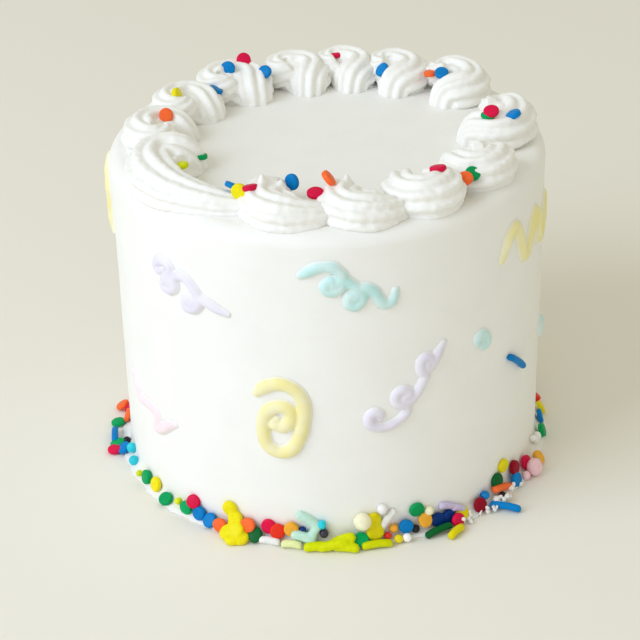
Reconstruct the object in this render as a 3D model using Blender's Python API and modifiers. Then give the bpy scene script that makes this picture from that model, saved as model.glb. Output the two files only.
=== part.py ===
"""Mini celebration cake: a tall round frosted cake with a ring of piped swirls on its top edge,
piped streamers round its side, confetti on the swirls and a band of sprinkles at its foot.

Units are metres and +Z is up. The origin is the centre of the flat underside, and -Y is the front.
Azimuths are in degrees, counter-clockwise seen from above, with 0 at +X and -90 at the front.
"""
import math
import random

import bmesh
import bpy
from mathutils import Matrix, Vector
from mathutils.bvhtree import BVHTree

MM = 0.001

# Cake body
CAKE_RADIUS = 56.0 * MM
CAKE_HEIGHT = 87.0 * MM
TOP_ROUNDING = 3.5 * MM
FOOT_RADIUS = 58.8 * MM
FOOT_HEIGHT = 3.2 * MM
FOOT_LIP = 0.5 * MM
BAND_TOP = 12.0 * MM
CAKE_SIDES = 48
SHARP = math.radians(35)
GAP = 0.3 * MM

# Piped swirls
ROPE_LOBES = 10
ROPE_GROOVE = 0.22
SWIRL_VOXEL = 0.8 * MM
SWIRL_TRIANGLES = 244
SWIRL_CLEARANCE = 0.9 * MM
CUTTER_VOXEL = 2.0 * MM

# Piped streamers
STREAMER_SIDES = 10
STREAMER_VOXEL = 0.5 * MM
STREAMER_TRIANGLES = 140
COMMA_TRIANGLES = 50
STREAMER_SEAT = 0.45

# Sprinkles
QUIN_RADIUS = 1.95 * MM
QUIN_THICKNESS = 1.35 * MM
BEAD_RADIUS = 1.2 * MM
PEARL_RADIUS = 2.3 * MM
JIMMIE_RADIUS = 0.8 * MM
LOWEST = 0.1 * MM
FRONT = -90

# Confetti is set where it shows from the front, at its rough level above the cake top
VIEW_POINT = Vector((0.0, -448.4, 286.8)) * MM
CONFETTI_LEVEL = 7.0 * MM
CONFETTI_RISE = 0.8 * MM
SEAT_STEP = 0.15 * MM
SEAT_DEPTH = 0.25 * MM
SEAT_LIMIT = 30

COLOURS = {
    "icing": (0.90, 0.89, 0.84),
    "yellow": (0.90, 0.86, 0.55),
    "aqua": (0.62, 0.86, 0.86),
    "lavender": (0.74, 0.70, 0.87),
    "pink": (0.93, 0.75, 0.79),
}

# Each swirl, counter-clockwise from the front right: azimuth of its middle, ring radius in mm,
# size, stretch along the ring, angle at which the rope ends, drift of its tail along the ring,
# lift and thickness of its tip in mm
SWIRLS = (
    (-58, 45.0, 1.05, 1.20, 425, 0, 1.0, 2.8),
    (-33, 44.5, 1.00, 1.25, 440, 0, 3.5, 1.5),
    (2, 43.5, 1.10, 1.45, 440, 0, 4.0, 1.5),
    (40.5, 43.5, 1.03, 1.45, 440, 0, 3.5, 1.4),
    (63.5, 39.5, 1.00, 1.15, 420, 0, 0.8, 3.2),
    (84, 38.5, 0.98, 1.15, 420, 0, 0.8, 3.2),
    (105, 36.5, 1.00, 1.15, 415, 0, 0.5, 3.4),
    (134, 37.5, 1.07, 1.30, 415, 0, 0.8, 3.2),
    (160, 39.5, 1.02, 1.20, 415, 0, 0.8, 3.2),
    (185, 42.5, 1.05, 1.25, 420, 0, 0.8, 3.0),
    (212, 45.0, 1.25, 1.30, 350, 20, 0.0, 2.4),
    (257, 45.0, 1.00, 1.30, 365, 6, 0.0, 2.2),
    (281, 45.0, 1.00, 1.25, 365, 5, 0.0, 2.2),
)

# Confetti on the swirls, as (x, y) in mm, tilt and turn of the face in degrees
CONFETTI = (
    (-22.0, 37.5, 5, 0), (-26.2, 33.0, 35, -10), (-15.5, 30.5, 15, 20), (-29.5, 19.5, 80, 30),
    (-40.0, 17.0, 40, -50), (-42.0, 2.0, 40, 10), (-31.5, -24.0, 80, 60), (-36.0, -29.0, 70, -20),
    (-22.5, -37.0, 75, 60), (-22.0, -43.5, 40, 20), (-18.0, -42.5, 80, 40), (-8.2, -39.0, 50, 30),
    (-3.3, -45.5, 60, -20), (1.0, -38.5, 25, 60), (2.8, 38.5, 80, 0), (15.1, 30.0, 40, 50),
    (27.5, 26.0, 60, 30), (31.5, 27.0, 45, 60), (41.0, 0.5, 40, 20), (40.5, -3.0, 75, 60),
    (47.0, -2.0, 45, 60), (26.8, -34.0, 70, 10), (32.6, -40.0, 35, 30), (35.2, -37.5, 50, 50),
)

# Strokes of the piping bag on the side, as (along, up) in mm from the stroke's middle
STROKES = {
    "curls": ((-6.5, 4), (-9, 3), (-9.5, 5), (-7, 7), (-4, 6.5), (-3.5, 4.5), (-5.5, 2), (-7.5, -0.5),
              (-5.5, -1.5), (-3, 0.5), (-3, 2.5), (-4.5, 2.5), (-1.5, 4), (1, 3.5), (3, 1.5), (4.5, 0),
              (5, -2), (3.5, -4), (1, -4.5), (0.5, -2.8), (2, -1.5), (4.5, -0.5), (7, -1.2),
              (9.5, -2.2), (13, -3.2)),
    "waves": ((-11.5, 3), (-9.5, 4.5), (-7.5, 6), (-5, 6.5), (-2.8, 6), (-1.2, 4), (-1, 2), (-2.5, 0),
              (-4.5, 0), (-5, 1.5), (-3.5, 2.8), (-1, 2.7), (1.2, 1), (3, -1), (3.5, -3), (2, -4.7),
              (0.3, -4), (0.5, -2), (2.2, -0.5), (4.5, -0.2), (6.5, -1.7), (7.5, -3.7), (9, -5.3),
              (11, -4.7), (11.8, -1.3)),
    "spiral": ((-6.7, 5.5), (-5, 7.5), (-3, 9), (-0.5, 9.6), (2, 9.3), (4.7, 8.3), (6.5, 5.8),
               (7, 2.5), (6.5, -1), (5.5, -4.5), (3.7, -7.5), (1, -9.5), (-1.7, -9.3), (-4, -7.5),
               (-4.8, -4.5), (-4.7, -1), (-3.5, 2), (-1.3, 4), (1.2, 4.3), (2.6, 2.5), (2.5, 0),
               (1, -2.2), (-0.9, -2.8), (-2.4, -1.5), (-1.5, 0.1)),
    "loops": ((-8.8, -7.5), (-7.9, -5.9), (-9.4, -4.7), (-11, -6.1), (-10.4, -8.5), (-8, -9.7),
              (-5.5, -9.6), (-3, -8.5),
              (-1, -6.5), (-1.5, -4.3), (-4, -2.7), (-4, -0.5), (-2, 0.6), (0, -1), (0, -3), (1.5, -2),
              (3, 0.5), (4.2, 3), (3, 5), (2.7, 7.5), (4.2, 8.5), (6, 7.2), (5.5, 5), (7, 7), (8, 9),
              (9.7, 11.5)),
    "zigzag": ((-9, 6.5), (-6.5, 5), (-4.5, 3), (-3.5, 0.8), (-0.5, 0.7), (2.5, 1.2), (5, 0),
               (5.5, -2.2), (4.2, -4.5), (7, -3.7), (10.5, -1), (13.5, 0.5)),
    "peaks": ((-14.5, -2), (-13, 1), (-11.5, 4), (-8.5, 6), (-6.5, 3), (-5, -1), (-3.5, -4.5),
              (-1.5, -3.5), (0.5, 0.5), (3, 4.5), (5, 4), (6, 0), (7.5, -4.5), (10, -3), (13, 1),
              (17, 4.5)),
    "bend": ((-1, 11), (1.2, 8), (1.8, 4), (0.8, 0), (-0.5, -4), (-1, -8), (-0.5, -11)),
    "comma": ((-0.6, -1.2), (-1.7, 0.7), (-0.6, 2.3), (1.1, 1.4), (1.9, -0.4), (0.6, -1.5)),
}

# Each streamer: stroke, colour, azimuth and height in mm of its middle, turn in degrees,
# size and rope radius in mm
STREAMERS = (
    ("curls", "lavender", -129, 67, 0, 1.0, 1.35),
    ("waves", "aqua", -86, 73.5, 0, 1.0, 1.4),
    ("spiral", "yellow", -103, 37, 0, 1.0, 1.7),
    ("loops", "lavender", -70.5, 43, 0, 1.0, 1.35),
    ("comma", "aqua", -48.5, 50, 0, 1.0, 1.45),
    ("peaks", "yellow", -27, 71, 0, 1.0, 1.4),
    ("comma", "aqua", -9, 35, 60, 1.0, 1.45),
    ("bend", "yellow", -179, 73, 8, 1.0, 1.7),
    ("zigzag", "pink", -149, 25.5, 0, 1.0, 1.2),
    ("waves", "aqua", 14, 76, 10, 0.9, 1.3),
    ("zigzag", "pink", 24, 40, 190, 1.0, 1.25),
    ("spiral", "lavender", 52, 62, 150, 0.8, 1.3),
    ("curls", "yellow", 62, 33, 200, 1.0, 1.3),
    ("loops", "aqua", 88, 60, 30, 1.0, 1.25),
    ("peaks", "pink", 110, 34, -8, 0.9, 1.3),
    ("curls", "lavender", 132, 67, 12, 1.0, 1.25),
    ("comma", "aqua", 146, 46, 20, 1.0, 1.45),
)

# Sprinkles round the foot that the photograph shows, by kind: azimuth, distance from the axis
# and height in mm, tilt and turn in degrees, and for a jimmie its length in mm
QUINS = (
    (-196, 60.4, 1.6, 60, 0), (-191.5, 60.6, 1.5, 70, 0), (-189, 58.6, 2.2, 30, 0),
    (-184.5, 58.4, 2.4, 20, 0), (-182, 60.2, 1.0, 80, 0), (-171.3, 60.0, 1.2, 75, 0),
    (-167.8, 59.0, 1.6, 60, 0), (-168.6, 61.4, 1.0, 85, 0), (-151, 57.5, 2.2, 15, 0),
    (-146, 57.3, 2.6, 15, 0), (-140, 58.2, 1.5, 55, 0), (-130, 57.2, 5.0, 30, 20),
    (-132.6, 57.5, 1.9, 10, 0), (-127.8, 57.6, 2.4, 20, 0), (-124, 58.2, 2.0, 40, 0),
    (-120.6, 58.5, 2.0, 20, 0), (-118.2, 57.0, 7.0, -10, 0), (-116.5, 57.4, 4.5, 10, 0),
    (-118.2, 58.8, 1.6, 60, 0), (-113.6, 60.2, 1.0, 80, 0), (-112.8, 58.0, 4.0, 20, 0),
    (-110.6, 58.6, 1.6, 45, 0), (-107.5, 57.9, 4.1, 10, 0), (-104.9, 57.6, 3.4, 15, 25),
    (-101.3, 57.5, 4.5, 5, 0), (-80.4, 57.0, 6.4, 0, 20), (-80.0, 57.6, 3.4, 10, 0),
    (-83.8, 58.4, 2.0, 45, 0), (-71.9, 57.7, 3.5, 10, 0), (-68.6, 57.0, 7.2, -5, 0),
    (-66.6, 57.6, 4.0, 25, 0), (-63, 57.8, 3.0, 15, 0), (-59.8, 57.8, 2.6, 10, 0),
    (-57.4, 59.6, 2.2, 5, 10), (-60.8, 61.8, 1.1, 70, 0), (-56.6, 60.6, 1.1, 70, 0),
    (-49.6, 58.1, 2.0, 20, 0), (-34.2, 58.2, 2.0, 20, 0), (-41.6, 57.2, 5.2, 10, 0),
    (-38.6, 56.9, 8.2, -5, 0), (-33.5, 57.2, 5.0, 10, 0), (-27, 57.6, 3.0, 15, 0),
    (-21.8, 59.4, 1.7, 40, 0), (-9, 58.2, 2.2, 20, 0), (-2.2, 57.7, 2.4, 15, 0),
    (2.9, 58.6, 2.0, 30, 0), (10.7, 60.4, 1.3, 60, 0),
)
BEADS = (
    (-171.5, 57.8, 1.4), (-165, 57.2, 3.1), (-160.9, 57.6, 1.6), (-154.8, 58.0, 1.3),
    (-136, 57.2, 2.4), (-98.6, 57.3, 4.1), (-93.5, 57.2, 6.2), (-93.0, 58.0, 3.6),
    (-78, 57.0, 9.6), (-76.8, 58.8, 1.8), (-75, 58.0, 3.2), (-74.4, 59.6, 1.3),
    (-72.3, 59.4, 1.3), (-65.3, 57.1, 6.1), (-69.3, 58.4, 2.0), (-47, 57.4, 3.6),
    (-44.2, 58.8, 1.4), (-41.8, 58.9, 1.4), (-23.6, 62.6, 1.3), (-30.4, 59.2, 1.3),
    (-13.5, 57.3, 3.0),
)
PEARLS = (
    (-83.3, 58.0, 7.2), (-25.9, 60.8, 2.45),
)
JIMMIES = (
    (-176, 58.4, 3.6, 70, 0, 6.5), (-116, 59.8, 1.2, 0, -8, 7.0), (-106.7, 59.0, 1.0, 0, 0, 5.5),
    (-96.9, 56.9, 6.9, -35, 0, 7.0), (-95.4, 57.4, 3.2, 80, 0, 4.5), (-101, 59.4, 1.0, 0, 0, 5.5),
    (-94.4, 60.0, 1.0, 0, -5, 7.0), (-88.6, 58.6, 2.0, 22, 0, 6.5), (-76.6, 57.0, 6.0, 55, 0, 6.5),
    (-80, 60.0, 1.0, 0, 0, 8.0), (-63.3, 59.6, 1.0, 0, 0, 7.0), (-59.5, 56.9, 5.2, -25, 0, 6.0),
    (-56.4, 57.2, 3.4, -30, 0, 5.0), (-44.7, 62.6, 1.0, 0, 63, 8.5), (-40.5, 57.9, 2.7, -20, 0, 9.0),
    (-17, 57.0, 3.8, -40, 0, 6.0), (-87.5, 60.2, 1.0, 0, 12, 6.0),
)
SIDE_JIMMIE = (-33.2, 56.5, 37.0, -42, 0, 11.0)

# Sprinkles on the far side, where the photograph doesn't reach
FAR_START = 16
FAR_END = 160
FAR_STEP = 4.4
FAR_SEED = 7
FAR_REACH = 57.8
FAR_JIMMIE = 7.0


def collection(name):
    """A new collection in the scene."""
    made = bpy.data.collections.new(name)
    bpy.context.scene.collection.children.link(made)
    return made


def icing_material(name, colour):
    """A plain Principled material for one icing or sprinkle colour."""
    material = bpy.data.materials.new(name)
    material.use_nodes = True
    shader = material.node_tree.nodes["Principled BSDF"]
    shader.inputs["Base Color"].default_value = (*COLOURS[colour], 1.0)
    shader.inputs["Roughness"].default_value = 0.5
    shader.inputs["Metallic"].default_value = 0.0
    return material


def ring_point(azimuth, radius, height):
    """The point at an azimuth in degrees, a distance from the axis and a height."""
    angle = math.radians(azimuth)
    return Vector((radius * math.cos(angle), radius * math.sin(angle), height))


def mesh_object(name, mesh, target):
    """An object for a mesh, in one collection."""
    piece = bpy.data.objects.new(name, mesh)
    target.objects.link(piece)
    return piece


def applied(piece):
    """Replaces an object's mesh by what its modifiers make of it."""
    graph = bpy.context.evaluated_depsgraph_get()
    mesh = bpy.data.meshes.new_from_object(piece.evaluated_get(graph))
    piece.modifiers.clear()
    piece.data = mesh


def boolean(piece, operation, operand, solver="EXACT"):
    """Joins or cuts a piece with an object or with a whole collection, for good."""
    step = piece.modifiers.new("cut", "BOOLEAN")
    step.operation = operation
    step.solver = solver
    if isinstance(operand, bpy.types.Collection):
        step.operand_type = "COLLECTION"
        step.collection = operand
    else:
        step.object = operand
    applied(piece)


def remove(piece):
    """Takes an object out of the file."""
    bpy.data.objects.remove(piece, do_unlink=True)


def keep_largest(piece):
    """Drops loose scraps, so that a cut piece stays one closed body."""
    shape = bmesh.new()
    shape.from_mesh(piece.data)
    left = set(shape.verts)
    bodies = []
    while left:
        body = set()
        front = [left.pop()]
        while front:
            vertex = front.pop()
            body.add(vertex)
            for edge in vertex.link_edges:
                other = edge.other_vert(vertex)
                if other in left:
                    left.remove(other)
                    front.append(other)
        bodies.append(body)
    largest = max(bodies, key=len)
    scraps = [vertex for body in bodies if body is not largest for vertex in body]
    bmesh.ops.delete(shape, geom=scraps, context="VERTS")
    shape.to_mesh(piece.data)
    shape.free()


def remeshed(piece, voxel, smoothing):
    """Merges a self-crossing rope of icing into one even skin."""
    step = piece.modifiers.new("skin", "REMESH")
    step.mode = "VOXEL"
    step.voxel_size = voxel
    soften = piece.modifiers.new("soften", "SMOOTH")
    soften.factor = 0.5
    soften.iterations = smoothing
    applied(piece)


def is_closed(mesh):
    """Whether every edge of a mesh has exactly two faces."""
    shape = bmesh.new()
    shape.from_mesh(mesh)
    closed = all(len(edge.link_faces) == 2 for edge in shape.edges)
    shape.free()
    return closed


def thinned(piece, triangles):
    """Brings a piece down to about a number of triangles, a few more where it would pinch."""
    shape = bmesh.new()
    shape.from_mesh(piece.data)
    bmesh.ops.triangulate(shape, faces=shape.faces)
    shape.to_mesh(piece.data)
    shape.free()
    fine = piece.data
    for extra in range(0, 200, 10):
        piece.data = fine
        step = piece.modifiers.new("thin", "DECIMATE")
        step.ratio = min(1.0, (triangles + extra) / len(fine.polygons))
        applied(piece)
        if is_closed(piece.data):
            break


def rope(name, points, section, target):
    """A rope of icing: a smooth curve through (place, radius) pairs, swept with a section curve."""
    curve = bpy.data.curves.new(name, "CURVE")
    curve.dimensions = "3D"
    curve.bevel_mode = "OBJECT"
    curve.bevel_object = section
    curve.use_fill_caps = True
    curve.resolution_u = 6
    spline = curve.splines.new("NURBS")
    spline.points.add(len(points) - 1)
    for knot, (place, radius) in zip(spline.points, points):
        knot.co = (*place, 1.0)
        knot.radius = radius
    spline.order_u = 4
    spline.use_endpoint_u = True
    guide = bpy.data.objects.new(name, curve)
    target.objects.link(guide)
    graph = bpy.context.evaluated_depsgraph_get()
    mesh = bpy.data.meshes.new_from_object(guide.evaluated_get(graph))
    matrix = guide.matrix_world.copy()
    remove(guide)
    shape = bmesh.new()
    shape.from_mesh(mesh)
    bmesh.ops.remove_doubles(shape, verts=shape.verts, dist=0.00001)
    bmesh.ops.recalc_face_normals(shape, faces=shape.faces)
    shape.to_mesh(mesh)
    shape.free()
    piece = mesh_object(name, mesh, target)
    piece.matrix_world = matrix
    return piece


def rope_section(name, lobes, groove, target):
    """The outline of a piping tip: rounded lobes with sharp grooves, 1 m in radius."""
    curve = bpy.data.curves.new(name, "CURVE")
    curve.dimensions = "2D"
    spline = curve.splines.new("POLY")
    count = lobes * 6 if groove else lobes
    spline.points.add(count - 1)
    for index, knot in enumerate(spline.points):
        angle = 2 * math.pi * index / count
        radius = 1 - groove * (1 - abs(math.cos(angle * lobes / 2)))
        knot.co = (radius * math.cos(angle), radius * math.sin(angle), 0, 1)
    spline.use_cyclic_u = True
    section = bpy.data.objects.new(name, curve)
    target.objects.link(section)
    section.hide_render = True
    section.display_type = "WIRE"
    return section


def turned_body(name, grow, target):
    """The frosted cake turned from its profile, or a copy grown all over for cutting."""
    radius = CAKE_RADIUS + grow
    top = CAKE_HEIGHT + grow
    foot = FOOT_RADIUS + grow
    profile = [(0.0, top)]
    steps = 4
    for index in range(steps + 1):
        angle = math.pi / 2 * (1 - index / steps)
        profile.append((radius - TOP_ROUNDING + TOP_ROUNDING * math.cos(angle),
                        top - TOP_ROUNDING + TOP_ROUNDING * math.sin(angle)))
    profile.append((radius, BAND_TOP))
    flare = foot - radius
    for index in range(steps):
        angle = math.pi / 2 * index / (steps - 1)
        profile.append((foot - flare * math.cos(angle),
                        FOOT_HEIGHT - (FOOT_HEIGHT - FOOT_LIP) * math.sin(angle)))
    profile.append((foot, -grow))
    profile.append((0.0, -grow))
    mesh = bpy.data.meshes.new(name)
    mesh.from_pydata([(x, 0.0, z) for x, z in profile],
                     [(index, index + 1) for index in range(len(profile) - 1)], [])
    body = mesh_object(name, mesh, target)
    turn = body.modifiers.new("turn", "SCREW")
    turn.steps = CAKE_SIDES
    turn.render_steps = CAKE_SIDES
    turn.use_merge_vertices = True
    turn.merge_threshold = 0.00001
    applied(body)
    return body


def swirl_path(azimuth, ring, size, stretch, end_angle, drift, tip_lift, tip_radius):
    """The way of the piping tip for one swirl, as (place, rope radius) pairs.

    The icing is pushed out on the inner side, climbs, swings counter-clockwise round the
    outer side, and ends in a lifted tip over the middle or in a tail that drifts along the ring.
    """
    start_angle = 150
    loop = 5.0 * size
    points = []

    def add(angle, reach, shift, height, thickness):
        turn = math.radians(angle)
        along = math.cos(turn) * reach * stretch + shift
        inward = math.sin(turn) * reach
        place = ring_point(azimuth + math.degrees(along / ring), (ring - inward) * MM,
                           CAKE_HEIGHT + height * MM)
        points.append((place, thickness * size * MM))

    add(start_angle - 25, loop * 1.2, 0.0, -1.5, 4.6)
    add(start_angle - 22, loop * 1.15, 0.0, 0.4, 5.0)
    add(start_angle - 16, loop * 1.05, 0.0, 2.0, 5.5)
    steps = 12
    curl = 0.25 if drift else 0.85
    rise = -1.2 if drift else 1.8
    for index in range(steps + 1):
        share = index / steps
        angle = start_angle + (end_angle - start_angle) * share
        reach = loop * (1 - curl * share ** 2)
        height = 2.4 + rise * share + tip_lift * max(0.0, share - 0.6) ** 1.5 * 4
        thickness = 5.8 - 0.4 * share - (5.4 - tip_radius) * max(0.0, share - 0.5) / 0.5
        add(angle, reach, drift * share ** 2, height, thickness)
    return points


def smooth_line(points, steps):
    """Points along a smooth curve that passes through every given point."""
    ends = [points[0], *points, points[-1]]
    line = []
    for index in range(len(points) - 1):
        before, start, end, after = ends[index:index + 4]
        for step in range(steps):
            t = step / steps
            weights = (-t ** 3 + 2 * t ** 2 - t, 3 * t ** 3 - 5 * t ** 2 + 2,
                       -3 * t ** 3 + 4 * t ** 2 + t, t ** 3 - t ** 2)
            around = zip(weights, (before, start, end, after))
            line.append(sum((Vector(point) * weight for weight, point in around), Vector((0, 0))) / 2)
    line.append(Vector(points[-1]))
    return line


def streamer_path(stroke, azimuth, height, turn, size, radius):
    """A stroke wrapped round the cake's side, thinning at both ends."""
    angle = math.radians(turn)
    line = smooth_line(STROKES[stroke], 3)
    last = len(line) - 1
    places = []
    for index, flat in enumerate(line):
        along = (flat.x * math.cos(angle) - flat.y * math.sin(angle)) * size * MM
        up = (flat.x * math.sin(angle) + flat.y * math.cos(angle)) * size * MM
        end = min(index, last - index)
        thickness = radius * MM * (0.75 if end == 0 else 0.9 if end == 1 else 1.0)
        reach = CAKE_RADIUS + GAP + STREAMER_SEAT * radius * MM
        places.append((ring_point(azimuth + math.degrees(along / CAKE_RADIUS), reach,
                                  height * MM + up), thickness))
    return places


def make_streamers(section, core, parts):
    """The piped streamers, each pressed on to the cake's side."""
    for index, values in enumerate(STREAMERS):
        stroke, colour, azimuth, height, turn, size, radius = values
        name = f"streamer_{index + 1:02d}"
        streamer = rope(name, streamer_path(stroke, azimuth, height, turn, size, radius),
                        section, parts)
        remeshed(streamer, STREAMER_VOXEL, 1)
        boolean(streamer, "DIFFERENCE", core)
        keep_largest(streamer)
        thinned(streamer, COMMA_TRIANGLES if stroke == "comma" else STREAMER_TRIANGLES)
        dress(streamer, icing_material(name, colour))


def dress(piece, material):
    """Gives a piece one material and smooth shading."""
    piece.data.materials.clear()
    piece.data.materials.append(material)
    piece.data.shade_smooth()
    piece.data.set_sharp_from_angle(angle=SHARP)


def make_swirls(section, parts):
    """The ring of piped swirls, still crossing each other and the cake top."""
    swirls = []
    for index, values in enumerate(SWIRLS):
        swirl = rope(f"swirl_{index + 1:02d}", swirl_path(*values), section, parts)
        remeshed(swirl, SWIRL_VOXEL, 2)
        thinned(swirl, SWIRL_TRIANGLES)
        swirls.append(swirl)
    return swirls


def part_swirls(swirls, core, cutters):
    """Cuts each swirl back where the next one lies over it, and seats it on the cake top."""
    grown = []
    for swirl in swirls:
        copy = mesh_object(swirl.name + "_grown", swirl.data.copy(), cutters)
        remeshed(copy, SWIRL_VOXEL, 0)
        swell = copy.modifiers.new("swell", "DISPLACE")
        swell.strength = SWIRL_CLEARANCE
        swell.mid_level = 0.0
        applied(copy)
        remeshed(copy, CUTTER_VOXEL, 0)
        grown.append(copy)
    for index, swirl in enumerate(swirls):
        boolean(swirl, "DIFFERENCE", grown[(index + 1) % len(swirls)], "MANIFOLD")
        boolean(swirl, "DIFFERENCE", core, "MANIFOLD")
        keep_largest(swirl)
        dress(swirl, icing_material(swirl.name, "icing"))
    for copy in grown:
        remove(copy)


def turned_frame(azimuth, tilt, turn):
    """Axes at an azimuth: outward tilted up and turned about the vertical, along, and up."""
    return (Matrix.Rotation(math.radians(azimuth + turn), 4, "Z")
            @ Matrix.Rotation(-math.radians(tilt), 4, "Y"))


def sprinkle(kind, place, frame, length, target):
    """One sprinkle: a flat round quin facing outward, a round bead or pearl, or a jimmie rod."""
    shape = bmesh.new()
    if kind == "quin":
        bmesh.ops.create_cone(shape, cap_ends=True, segments=7, radius1=QUIN_RADIUS,
                              radius2=QUIN_RADIUS, depth=QUIN_THICKNESS)
        bmesh.ops.rotate(shape, verts=shape.verts, matrix=Matrix.Rotation(math.pi / 2, 3, "Y"))
    elif kind == "jimmie":
        bmesh.ops.create_cone(shape, cap_ends=True, segments=5, radius1=JIMMIE_RADIUS,
                              radius2=JIMMIE_RADIUS, depth=length)
        bmesh.ops.rotate(shape, verts=shape.verts, matrix=Matrix.Rotation(math.pi / 2, 3, "X"))
    else:
        radius = PEARL_RADIUS if kind == "pearl" else BEAD_RADIUS
        bmesh.ops.create_icosphere(shape, subdivisions=1, radius=radius)
    bmesh.ops.transform(shape, matrix=Matrix.Translation(place) @ frame, verts=shape.verts)
    lowest = min(vertex.co.z for vertex in shape.verts)
    if lowest < LOWEST:
        bmesh.ops.translate(shape, verts=shape.verts, vec=(0, 0, LOWEST - lowest))
    mesh = bpy.data.meshes.new(kind)
    shape.to_mesh(mesh)
    shape.free()
    return mesh_object(kind, mesh, target)


def surface(piece, shift=Vector((0, 0, 0))):
    """A search tree of a piece's faces, moved by a shift."""
    return BVHTree.FromPolygons([vertex.co + shift for vertex in piece.data.vertices],
                                [face.vertices for face in piece.data.polygons])


def seat(piece, azimuth, laid):
    """Slides a sprinkle towards the cake until it sticks to what is laid there already."""
    inward = -ring_point(azimuth, 1.0, 0.0)
    shift = Vector((0, 0, 0))
    for step in range(SEAT_LIMIT):
        if any(surface(piece, shift).overlap(other) for other in laid):
            break
        shift += inward * SEAT_STEP
    shift += inward * SEAT_DEPTH
    piece.data.transform(Matrix.Translation(shift))
    laid.append(surface(piece))


def jimmie_frame(azimuth, slope, turn):
    """Axes of a rod along the ring at an azimuth, sloping up and turned outward."""
    return (Matrix.Rotation(math.radians(azimuth - turn), 4, "Z")
            @ Matrix.Rotation(math.radians(slope), 4, "X"))


def foot_sprinkles(body, target):
    """The band of sprinkles round the foot, as shown in front and scattered behind."""
    laid = [surface(body)]

    def lay(kind, azimuth, reach, height, frame, length=0.0):
        place = ring_point(azimuth, reach * MM, height * MM)
        seat(sprinkle(kind, place, frame, length * MM, target), azimuth, laid)

    for azimuth, reach, height in PEARLS:
        lay("pearl", azimuth, reach, height, Matrix())
    for azimuth, reach, height, tilt, turn in QUINS:
        lay("quin", azimuth, reach, height, turned_frame(azimuth, tilt, turn))
    for azimuth, reach, height, slope, turn, length in (*JIMMIES, SIDE_JIMMIE):
        lay("jimmie", azimuth, reach, height, jimmie_frame(azimuth, slope, turn), length)
    for azimuth, reach, height in BEADS:
        lay("bead", azimuth, reach, height, Matrix())
    scatter = random.Random(FAR_SEED)
    azimuth = FAR_START
    while azimuth < FAR_END:
        kind = scatter.choice(("quin", "quin", "quin", "bead", "jimmie"))
        height = scatter.choice((1.6, 2.2, 4.4))
        if kind == "jimmie":
            frame = jimmie_frame(azimuth, scatter.uniform(-30, 30), 0)
        else:
            frame = turned_frame(azimuth, scatter.uniform(5, 45), 0)
        lay(kind, azimuth, FAR_REACH, height, frame, FAR_JIMMIE)
        azimuth += FAR_STEP * scatter.uniform(0.7, 1.3)


def sprinkle_body(body, cutters):
    """Joins the foot sprinkles to the frosted cake in one union."""
    band = collection("band")
    foot_sprinkles(body, band)
    boolean(body, "UNION", band)
    for piece in list(band.objects):
        remove(piece)
    bpy.data.collections.remove(band)
    keep_largest(body)


def confetti_on_swirls(swirls):
    """Presses each confetti quin into the swirl that shows at its place, and joins them."""
    for x, y, tilt, turn in CONFETTI:
        aim = Vector((x * MM, y * MM, CAKE_HEIGHT + CONFETTI_LEVEL))
        seen = [(surface(swirl).ray_cast(VIEW_POINT, aim - VIEW_POINT), swirl) for swirl in swirls]
        met = [(hit[3], hit[0], swirl) for hit, swirl in seen if hit[0]]
        if not met:
            near = [(surface(swirl).find_nearest(aim), swirl) for swirl in swirls]
            met = [(hit[3], hit[0], swirl) for hit, swirl in near]
        place, swirl = min(met, key=lambda found: found[0])[1:]
        quin = sprinkle("quin", place + Vector((0, 0, CONFETTI_RISE)),
                        turned_frame(FRONT, tilt, turn), 0, bpy.data.collections["cutters"])
        boolean(swirl, "UNION", quin)
        remove(quin)
        keep_largest(swirl)


def build():
    """Models the whole cake."""
    for old in list(bpy.data.objects):
        bpy.data.objects.remove(old, do_unlink=True)
    parts = collection("mini_cake")
    cutters = collection("cutters")
    star = rope_section("star_tip", ROPE_LOBES, ROPE_GROOVE, cutters)
    plain = rope_section("plain_tip", STREAMER_SIDES, 0.0, cutters)
    body = turned_body("cake", 0.0, parts)
    core = turned_body("core", GAP, cutters)
    swirls = make_swirls(star, parts)
    confetti_on_swirls(swirls)
    part_swirls(swirls, core, cutters)
    make_streamers(plain, core, parts)
    sprinkle_body(body, cutters)
    dress(body, icing_material("cake", "icing"))
    core.hide_render = True
    core.display_type = "WIRE"


build()
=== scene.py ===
import math
import random

import bmesh
import bpy
from mathutils import Matrix, Vector, noise
from mathutils.bvhtree import BVHTree


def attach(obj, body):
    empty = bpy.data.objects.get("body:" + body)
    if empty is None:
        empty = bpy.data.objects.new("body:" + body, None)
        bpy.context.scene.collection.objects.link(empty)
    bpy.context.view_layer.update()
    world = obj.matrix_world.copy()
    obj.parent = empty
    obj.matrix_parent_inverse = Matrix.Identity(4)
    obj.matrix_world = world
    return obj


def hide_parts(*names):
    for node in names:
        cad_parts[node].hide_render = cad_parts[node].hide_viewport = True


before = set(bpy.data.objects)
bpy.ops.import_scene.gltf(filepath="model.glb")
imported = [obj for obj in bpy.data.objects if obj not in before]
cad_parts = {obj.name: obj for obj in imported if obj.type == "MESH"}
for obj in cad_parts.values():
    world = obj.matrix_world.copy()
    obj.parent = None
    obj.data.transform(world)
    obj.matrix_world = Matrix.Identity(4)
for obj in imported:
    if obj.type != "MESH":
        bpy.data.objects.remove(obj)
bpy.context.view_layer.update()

# The frosted cake. A tall layer cake a little over 110 mm across is covered in white buttercream,
# smoothed with a scraper on a turntable and a palette knife on top. The icing bulges a little
# where it is squeezed out against the table at the foot.
CAKE_RADIUS = 0.056
CAKE_HEIGHT = 0.087
TOP_ROUNDING = 0.0035
FOOT_RADIUS = 0.0588
FOOT_HEIGHT = 0.0032
FOOT_LIP = 0.0005
CAKE_SIDES = 256
TALLEST_BAND = 0.002
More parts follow.
